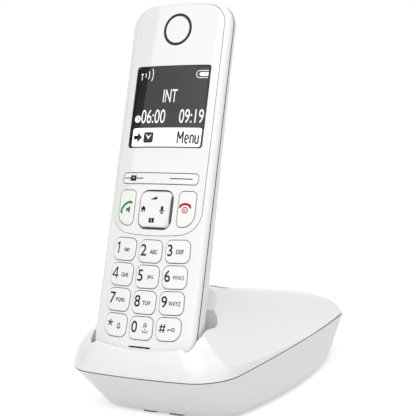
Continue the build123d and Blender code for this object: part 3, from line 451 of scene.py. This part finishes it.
# Circuit board: green solder mask over copper tracks that show as paler lines 0.4 mm wide
board = {"pitch": 1.6, "run": 6.4, "half": 0.2, "mask": "#1B5A37", "copper": "#2C7A4C", "rough": 0.38}  # mm
finish, tree, shader, place = newFinish("board_green")
tracks = addNode(tree, "ShaderNodeTexBrick", {"offset": 0.37}, {
    "Vector": place, "Color1": linear(board["mask"]), "Color2": linear(board["mask"]),
    "Mortar": linear(board["copper"]), "Scale": 1.0, "Mortar Size": board["half"] * mm,
    "Brick Width": board["run"] * mm, "Row Height": board["pitch"] * mm,
})
tree.links.new(tracks.outputs["Color"], shader.inputs["Base Color"])
shader.inputs["Roughness"].default_value = board["rough"]
finishes["board_green"] = finish

# Shrink sleeve of the cells: printed film in two plain bands
sleeve = {"band": 16.0, "body": "#3E7F46", "end": "#C9CCC9", "rough": 0.30}  # mm
finish, tree, shader, place = newFinish("cell_sleeve")
onFace = addNode(tree, "ShaderNodeMapping", {"vector_type": "TEXTURE"}, {
    "Vector": place, "Rotation": faceTurn.to_euler(),
})
bands = addNode(tree, "ShaderNodeTexWave", {"bands_direction": "Y"}, {
    "Vector": onFace.outputs[0], "Distortion": 0.0,
    "Scale": 1 / (sleeve["band"] * mm) / 20 * math.pi,  # the node's waves run 20 radians to a unit
})
tone = addNode(tree, "ShaderNodeMix", {"data_type": "RGBA"}, {
    "Factor": bands.outputs[1], 6: linear(sleeve["body"]), 7: linear(sleeve["end"]),
})
tree.links.new(tone.outputs[2], shader.inputs["Base Color"])
shader.inputs["Roughness"].default_value = sleeve["rough"]
finishes["cell_sleeve"] = finish
print("finishes made:", len(finishes))

# Finish of each CAD node
numberKeys = ["1", "2", "3", "4", "5", "6", "7", "8", "9", "star", "0", "hash"]
finishOf = {
    "abs_satin": ["handset_front_shell", "handset_rear_shell", "battery_cover"],
    "abs_polished": ["front_cover"],
    "abs_smooth": ["base_cover", "paging_key"],
    "abs_bowl": ["base_bowl"],
    "abs_keys": ["talk_key", "end_key", "softkey_bar"] + ["key_" + name for name in numberKeys],
    "abs_keys_edge_shade": ["nav_key"],
    "acrylic_clear": ["display_window"],
    "display_cell": ["lcd_module"],
    "sound_mesh": ["earpiece_ring"],
    "nylon_black": ["receiver_capsule", "microphone", "loudspeaker", "line_socket", "power_socket",
                    "paging_switch", "nav_rocker"],
    "silicone_mat": ["keypad_mat"],
    "rubber_grey": ["rubber_feet"],
    "board_green": ["handset_board", "base_board"],
    "steel_tinned": ["handset_shield", "base_shield", "battery_contacts"],
    "steel_zinc": ["handset_screws", "base_screws"],
    "nickel_plate": ["charge_pads", "base_contacts"],
    "cell_sleeve": ["battery_cells"],
}
for finishName, members in finishOf.items():
    for member in members:
        nodes[member].data.materials.clear()
        nodes[member].data.materials.append(finishes[finishName])
print("CAD nodes dressed:", sum(len(members) for members in finishOf.values()))

# Legends: marks are drawn flat in mm, joined into one piece for each key and laid on the surface below them
ink = {"half": 0.05, "step": 1.0, "drop": 8.0, "letterSteps": 4}  # mm, but the last counts a curve's steps


def oval(middle, wide, high, start, end, steps=16):
    turns = [math.radians(start + (end - start) * step / steps) for step in range(steps + 1)]
    return [(middle[0] + wide * math.cos(turn), middle[1] + high * math.sin(turn)) for turn in turns]


def arc(middle, radius, start, end, steps=16):
    return oval(middle, radius, radius, start, end, steps)


def ring(middle, radius):
    return arc(middle, radius, 0, 360, 24)


def block(left, low, right, high):
    return [(left, low), (right, low), (right, high), (left, high), (left, low)]


# A line with points no further apart than a step, so that it can follow a curved surface
def divided(line):
    points = [line[0]]
    for start, end in zip(line, line[1:]):
        steps = max(1, round(math.dist(start, end) / ink["step"]))
        for step in range(1, steps + 1):
            points.append(tuple(a + (b - a) * step / steps for a, b in zip(start, end)))
    return points


# A filled outline with its holes, or strokes of a pen; a line that ends where it starts is closed
def drawn(lines, pen=0, half=ink["half"]):
    bpy.ops.object.select_all(action="DESELECT")
    bpy.ops.object.add(type="CURVE")
    sheet = bpy.context.object.data
    sheet.dimensions = "3D" if pen else "2D"
    sheet.fill_mode = "FULL" if pen else "BOTH"
    sheet.use_fill_caps = bool(pen)
    sheet.bevel_depth = pen / 2
    sheet.bevel_resolution = 1
    sheet.extrude = 0 if pen else half
    for line in lines:
        closed = math.dist(line[0], line[-1]) < ink["half"] / 10
        points = divided(line)
        points = points[:-1] if closed else points
        spline = sheet.splines.new("POLY")
        spline.points.add(len(points) - 1)
        spline.use_cyclic_u = closed or not pen
        for point, (x, y) in zip(spline.points, points):
            point.co = (x, y, 0, 1)
    bpy.ops.object.convert(target="MESH")
    mark = bpy.context.object
    if pen:
        mark.data.transform(Matrix.Scale(2 * half / pen, 4, (0, 0, 1)))
    return mark


# Letters of a given height, drawn narrower or wider by stretch
def lettered(words, left, base, height, stretch=1.0, weight=0.0):
    bpy.ops.object.select_all(action="DESELECT")
    bpy.ops.object.text_add()
    text = bpy.context.object.data
    text.body = words
    text.extrude = ink["half"]
    text.offset = weight
    text.resolution_u = ink["letterSteps"]
    bpy.ops.object.convert(target="MESH")
    mark = bpy.context.object
    spots = [vertex.co for vertex in mark.data.vertices]
    lowX = min(spot.x for spot in spots)
    lowY = min(spot.y for spot in spots)
    scale = height / (max(spot.y for spot in spots) - lowY)
    mark.data.transform(
        Matrix.Translation((left, base, 0))
        @ Matrix.Diagonal((scale * stretch, scale, 1, 1))
        @ Matrix.Translation((-lowX, -lowY, 0))
    )
    return mark


# The middle of a node across and along the handset
def middleOf(node):
    spots = [toHandset @ vertex.co for vertex in nodes[node].data.vertices]
    return tuple((min(spot[i] for spot in spots) + max(spot[i] for spot in spots)) / 2 for i in (0, 1))


# Lays marks on a node, or against its underside from a level in mm behind the front
def lay(name, marks, onNode, body, finishName, middle=(0, 0), turn=0, below=None, lift=0.0):
    bpy.ops.object.select_all(action="DESELECT")
    for mark in marks:
        mark.select_set(True)
    bpy.context.view_layer.objects.active = marks[0]
    if len(marks) > 1:
        bpy.ops.object.join()
    piece = bpy.context.object
    piece.name = name
    start = ink["drop"] if below is None else -below
    search = -outward if below is None else outward
    spin = Matrix.Translation((*middle, start)) @ Matrix.Rotation(math.radians(turn), 4, "Z")
    for vertex in piece.data.vertices:
        origin = handsetFrame @ (spin @ Vector((vertex.co.x, vertex.co.y, 0)))
        landed, spot = nodes[onNode].ray_cast(origin, search)[:2]
        if not landed:
            raise ValueError(name + " reaches past " + onNode)
        vertex.co = spot + outward * (vertex.co.z + lift) * mm
    piece.data.materials.clear()
    piece.data.materials.append(finishes[finishName])
    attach(piece, body)
    return piece


# Number keys: a large figure on the left, small letters or a sign on the right, in mm from the key's middle
figure = {"left": -4.5, "base": -1.95, "height": 4.8, "stretch": 0.92, "weight": 0.010}
small = {"base": -1.05, "height": 1.75}
pens = {"figure": 0.60, "bold": 0.52, "sign": 0.36}  # mm
one = [[(-4.1, 1.6), (-3.0, 2.6)], [(-3.0, 2.85), (-3.0, -1.95)]]
four = [[(-2.45, 2.85), (-2.45, -1.95)], [(-2.5, 2.75), (-4.5, -0.6)], [(-4.7, -0.75), (-1.5, -0.75)]]
# Letters of a key, their left end, their stretch and their weight
keyLetters = {
    "2": ("ABC", 0.1, 0.79, 0.018), "3": ("DEF", -0.4, 0.86, 0.018), "4": ("GHI", 0.0, 0.87, 0.018),
    "5": ("JKL", 0.2, 1.21, 0.018), "6": ("MNO", -0.4, 0.86, 0.0), "7": ("PQRS", -1.2, 0.98, 0.018),
    "8": ("TUV", -0.6, 0.87, 0.018), "9": ("WXYZ", -1.1, 0.74, 0.010),
}
mailLoops = [ring((0.58, -0.2), 0.55), ring((1.98, -0.2), 0.55), [(0.58, -0.75), (1.98, -0.75)]]
asterisk = [[(-2.7, 0.7), arc((-2.7, 0.7), 1.5, ray, ray, 1)[0]] for ray in range(90, 450, 72)]
hashBars = [[(-3.9, 0.95), (-1.1, 0.95)], [(-4.1, -0.35), (-1.3, -0.35)]] + [
    [(left, -1.4), (left + 0.55, 2.0)] for left in (-3.5, -2.1)
]
bell = [
    [(0.95, -1.0), (2.75, -1.0), (2.4, -0.5)] + arc((1.85, 0.25), 0.55, 0, 180) + [(1.3, -0.5), (0.95, -1.0)],
    arc((1.85, -1.15), 0.28, 200, 340, 6),
]
recall = [
    [(1.55, 0.35), (1.55, 2.0)] + arc((2.3, 1.55), 0.45, 90, -90, 8) + [(1.55, 1.1)],
    [(2.2, 1.1), (2.8, 0.35)],
]
spaceMark = [[(1.2, -0.75), (1.2, -1.6), (3.4, -1.6), (3.4, -0.75)], [(2.3, -0.1), (2.3, -1.0)]]
lockKey = [
    ring((2.45, -0.1), 0.6), [(1.85, -0.1), (-0.15, -0.1)],
    [(0.05, -0.1), (0.05, -0.7)], [(0.6, -0.1), (0.6, -0.6)],
]
keySigns = {
    "1": [(one, pens["figure"]), (mailLoops, pens["sign"])],
    "4": [(four, pens["figure"])],
    "star": [(asterisk, pens["bold"]), (bell, pens["sign"])],
    "0": [(recall, pens["sign"]), (spaceMark, pens["sign"])],
    "hash": [(hashBars, pens["bold"]), (lockKey, pens["sign"])],
}
columnTurn = 2.5  # degrees by which the outer columns lean outwards
for order, keyName in enumerate(numberKeys):
    marks = []
    if keyName.isdigit() and keyName not in ("1", "4"):  # those two are strokes
        marks.append(lettered(
            keyName, figure["left"], figure["base"], figure["height"], figure["stretch"], figure["weight"]
        ))
    if keyName in keyLetters:
        letters, left, stretch, weight = keyLetters[keyName]
        marks.append(lettered(letters, left, small["base"], small["height"], stretch, weight))
    marks += [drawn(lines, pen) for lines, pen in keySigns.get(keyName, [])]
    node = "key_" + keyName
    turn = (order % 3 - 1) * columnTurn
    lay("legend_" + node, marks, node, node, "ink_black", middleOf(node), turn)
print("number keys lettered:", len(numberKeys))

# Call keys: a lifted receiver with a loudspeaker, and a laid receiver with a power sign; mm and degrees
receiver = {"bar": 1.0, "cup": 1.25, "cupLength": 0.75}
talkSign = {
    "at": (-15.4, 64.6), "bow": (3.0, -3.0), "radius": 5.1, "span": (90, 172),
    "speaker": (0.6, -0.9),
}
endSign = {
    "at": (14.2, 63.9), "bow": (0, -1.4), "radius": 3.9, "span": (50, 130),
    "ringPen": 0.40, "pen": 0.28,
}
speaker = [[(0.0, -0.9), (0.9, -0.9), (2.0, -1.75), (2.0, 1.25), (0.9, 0.4), (0.0, 0.4), (0.0, -0.9)]]
powerRing = [ring((0, 0), 1.2)]
power = [arc((0, 0), 0.5, 130, 410, 14), [(0, 0.1), (0, 0.7)]]


def moved(point, move):
    return (point[0] + move[0], point[1] + move[1])


def shifted(lines, move):
    return [[moved(point, move) for point in line] for line in lines]


# Where a sign stands from the middle of its key
def signAt(sign, middle):
    return moved(sign["at"], (-middle[0], -middle[1]))


# A bow with a cup at each end
def receiverMarks(sign, at):
    start, end = sign["span"]
    bow = arc(moved(at, sign["bow"]), sign["radius"], start, end)
    cups = []
    for tip, turn in ((bow[0], start), (bow[-1], end)):
        cups.append([tip, arc(tip, -receiver["cupLength"], turn, turn, 1)[0]])
    return [drawn([bow], receiver["bar"]), drawn(cups, receiver["cup"])]


talkMiddle = middleOf("talk_key")
talkAt = signAt(talkSign, talkMiddle)
talkMarks = receiverMarks(talkSign, talkAt)
talkMarks.append(drawn(shifted(speaker, moved(talkAt, talkSign["speaker"]))))
lay("legend_talk_key", talkMarks, "talk_key", "talk_key", "ink_green", talkMiddle)
endMiddle = middleOf("end_key")
endAt = signAt(endSign, endMiddle)
endMarks = receiverMarks(endSign, endAt)
endMarks.append(drawn(shifted(powerRing, endAt), endSign["ringPen"]))
endMarks.append(drawn(shifted(power, endAt), endSign["pen"]))
lay("legend_end_key", endMarks, "end_key", "end_key", "ink_red", endMiddle)

# Navigation key: a sign at each side
nav = {"left": -0.7, "spread": 4.6, "pen": 0.34}  # mm; middle of the signs, and each sign from it
wedge = [[(-1.7, -0.55), (1.6, -0.55), (1.6, 0.75), (-1.7, -0.55)]]
house = [[
    (-0.85, -1.2), (-0.3, -1.2), (-0.3, -0.4), (0.3, -0.4), (0.3, -1.2), (0.85, -1.2),
    (0.85, 0.1), (1.3, 0.1), (0, 1.35), (-1.3, 0.1), (-0.85, 0.1), (-0.85, -1.2),
]]
capsule = [arc((0, 0.8), 0.62, 0, 180, 8) + arc((0, -0.2), 0.62, 180, 360, 8)]
stand = [arc((0, -0.2), 1.0, 180, 360, 10), [(0, -1.2), (0, -1.7)], [(-0.7, -1.65), (0.7, -1.65)]]
book = [block(-1.25, -1.0, -0.12, 1.0), block(0.12, -1.0, 1.25, 1.0)]
atLeft = (nav["left"] - nav["spread"], 0)
atRight = (nav["left"] + nav["spread"], 0)
navMarks = [
    drawn(shifted(wedge, (nav["left"], nav["spread"]))), drawn(shifted(house, atLeft)),
    drawn(shifted(capsule, atRight)), drawn(shifted(stand, atRight), nav["pen"]),
    drawn(shifted(book, (nav["left"], -nav["spread"]))),
]
lay("legend_nav_key", navMarks, "nav_key", "nav_key", "ink_black", middleOf("nav_key"))

# Display keys: a mail sign between two dashes, and a dash
bar = {"mail": -13.0, "pen": 0.42}  # mm
barMiddle = middleOf("softkey_bar")
mailAt = (bar["mail"] - barMiddle[0], 0.0)
mailDashes = [[(-5.2, 0), (-1.5, 0)], [(1.5, 0), (5.0, 0)]]
mailBody = [
    block(-1.45, -1.15, 1.45, 1.15),
    [(-0.95, 0.75), (0, -0.2), (0.95, 0.75), (0, 0.25), (-0.95, 0.75)],
]
longDash = [[(5.5, 0), (16.0, 0)]]
barMarks = [
    drawn(shifted(mailDashes, mailAt), bar["pen"]), drawn(shifted(mailBody, mailAt)),
    drawn(longDash, bar["pen"]),
]
lay("legend_softkey_bar", barMarks, "softkey_bar", "softkey_bar", "ink_black", barMiddle)
print("call, navigation and display keys lettered")

# Display: a dark cell bonded under the window, pale marks on it and a pale strip with dark marks at its foot
screen = {
    "left": -18.2, "right": 18.2, "low": 89.7, "high": 124.4, "corner": 1.0,  # mm on the handset
    "stripLeft": -17.1, "stripRight": 16.9, "stripLow": 90.3, "stripHigh": 98.2, "stripCorner": 0.4,
    "borderHigh": 123.9,
    "under": 2.3, "thick": 0.03, "columns": 36,  # mm behind the front; mm; columns of a sheet
    "cellLift": 0.04, "stripLift": 0.08, "paleLift": 0.10, "darkLift": 0.14,  # mm, layer over layer
    "wavePen": 0.45, "cellPen": 0.32, "menuPen": 0.72, "handPen": 0.36,  # mm
}


# A sheet with columns enough to follow the curve of the front
def sheetMark(left, low, right, high, corner):
    bpy.ops.object.select_all(action="DESELECT")
    bpy.ops.mesh.primitive_grid_add(x_subdivisions=screen["columns"], y_subdivisions=1, size=1.0)
    sheet = bpy.context.object
    bpy.ops.object.mode_set(mode="EDIT")
    bpy.ops.mesh.select_all(action="SELECT")
    bpy.ops.mesh.extrude_region_move(TRANSFORM_OT_translate={"value": (0, 0, -screen["thick"])})
    bpy.ops.mesh.select_all(action="SELECT")
    bpy.ops.mesh.normals_make_consistent(inside=False)
    bpy.ops.object.mode_set(mode="OBJECT")
    for vertex in sheet.data.vertices:
        cut = corner if abs(vertex.co.x) > 0.499 else 0.0  # the grid is one wide
        vertex.co.x = (left + right) / 2 + vertex.co.x * (right - left)
        vertex.co.y = (low + high) / 2 + vertex.co.y * (high - low - 2 * cut)
    return sheet


def layDisplay(name, marks, finishName, lift):
    return lay(name, marks, "display_window", "handset", finishName, below=screen["under"], lift=lift)


left, right, low, high, cut = [screen[key] for key in ("left", "right", "low", "high", "corner")]
layDisplay("display_face", [sheetMark(left, low, right, high, cut)], "display_cell", screen["cellLift"])
outer = [
    (left + cut, low), (right - cut, low), (right, low + cut), (right, high - cut),
    (right - cut, high), (left + cut, high), (left, high - cut), (left, low + cut), (left + cut, low),
]
left, right, low, high, cut = [
    screen[key] for key in ("stripLeft", "stripRight", "stripLow", "stripHigh", "stripCorner")
]
layDisplay("display_strip", [sheetMark(left, low, right, high, cut)], "display_strip", screen["stripLift"])
inner = block(left, low, right, screen["borderHigh"])
layDisplay("display_border", [drawn([outer, inner])], "window_border", screen["darkLift"])
aerial = [
    [(-16.6, 121.7), (-15.2, 121.7), (-15.9, 120.5), (-16.6, 121.7)],
    block(-16.08, 118.9, -15.72, 120.9),
]
waves = [
    arc((-16.1, 121.0), radius, -spread, spread, 8) for radius, spread in ((2.2, 24), (4.0, 25), (6.0, 26))
]
cellSign = [[(16.8, 119.3), (12.8, 119.3)] + arc((12.8, 120.8), 1.5, 270, 90, 10) + [(16.8, 122.3)]]
cellFill = [[(12.5, 120.8), (13.3, 121.6), (16.8, 121.6), (16.8, 120.0), (13.3, 120.0), (12.5, 120.8)]]
clockFace = [ring((-15.45, 102.1), 1.55)]
paleMarks = [
    drawn(aerial), drawn(waves, screen["wavePen"]), drawn(cellSign, screen["cellPen"]), drawn(cellFill),
    drawn(clockFace), lettered("INT", -3.6, 109.0, 5.5, 0.55), lettered("06:00", -13.6, 100.2, 5.8, 0.68),
    lettered("09:19", 5.5, 100.2, 5.8, 0.64),
]
layDisplay("display_marks", paleMarks, "display_pale", screen["paleLift"])
arrow = [[
    (-16.3, 93.4), (-14.3, 93.4), (-14.3, 92.0), (-11.9, 94.2), (-14.3, 96.4), (-14.3, 95.0), (-16.3, 95.0),
    (-16.3, 93.4),
]]
envelope = [
    [(-10.6, 91.9), (-6.7, 91.9), (-6.2, 92.4), (-6.2, 95.9), (-6.7, 96.4), (-10.6, 96.4), (-11.1, 95.9),
     (-11.1, 92.4), (-10.6, 91.9)],
    [(-10.4, 95.8), (-8.65, 93.4), (-6.9, 95.8), (-8.65, 94.5), (-10.4, 95.8)],
]
clockHands = [[(-15.45, 103.2), (-15.45, 102.0)], [(-15.45, 102.0), (-14.6, 102.0)]]
menuLines = [
    [(5.95, 91.7), (5.95, 96.8)], [(6.0, 96.7), (7.2, 93.4)],
    [(7.2, 93.4), (8.4, 96.7)], [(8.45, 96.8), (8.45, 91.7)],
    [(9.5, 93.5), (11.0, 93.5)] + oval((10.25, 93.5), 0.75, 1.7, 0, 310),
    [(11.95, 91.7), (11.95, 95.2)], oval((12.65, 94.2), 0.7, 0.95, 180, 0) + [(13.35, 91.7)],
    [(14.25, 95.2), (14.25, 92.7)] + oval((14.95, 92.7), 0.7, 0.95, 180, 360),
    [(15.65, 95.2), (15.65, 91.7)],
]
darkMarks = [
    drawn(arrow), drawn(envelope), drawn(menuLines, screen["menuPen"]), drawn(clockHands, screen["handPen"]),
]
layDisplay("display_dark_marks", darkMarks, "display_dark", screen["darkLift"])
print("display drawn")

# Battery cover: ribs where the thumb lifts it, the outer ones shorter; mm on the handset
grip = {
    "behind": 40.0, "half": 0.22, "pen": 0.7, "reach": 7.0, "round": 0.35,
    "low": 88.0, "pitch": 1.5, "count": 5,
}
ribs = []
for row in range(grip["count"]):
    level = grip["low"] + row * grip["pitch"]
    fromMiddle = row - (grip["count"] - 1) / 2
    reach = grip["reach"] - grip["round"] * fromMiddle ** 2
    ribs.append([(-reach, level), (reach, level)])
gripMarks = [drawn(ribs, grip["pen"], grip["half"])]
lay(
    "battery_cover_grip", gripMarks, "battery_cover", "battery_cover", "abs_satin",
    below=grip["behind"],
)

# Line socket: six sprung wires that lean back into the mouth; path in mm to the back and up
wire = {
    "pitch": 1.02, "count": 6, "middle": -10.0, "thick": 0.34,
    "path": [(37.0, 14.9), (45.0, 14.9), (46.0, 14.4), (45.1, 13.8), (35.0, 10.6)],
}
bpy.ops.object.select_all(action="DESELECT")
bpy.ops.object.add(type="CURVE")
springs = bpy.context.object
springs.name = "line_socket_wires"
springs.data.dimensions = "3D"
springs.data.bevel_depth = wire["thick"] / 2 * mm
springs.data.bevel_resolution = 2
springs.data.use_fill_caps = True
for order in range(wire["count"]):
    across = wire["middle"] + (order - (wire["count"] - 1) / 2) * wire["pitch"]
    spline = springs.data.splines.new("POLY")
    spline.points.add(len(wire["path"]) - 1)
    for point, (y, z) in zip(spline.points, wire["path"]):
        point.co = (across * mm, y * mm, z * mm, 1)
bpy.ops.object.convert(target="MESH")
springs.data.materials.append(finishes["gold_flash"])
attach(springs, "base")
print("grip and wires made")
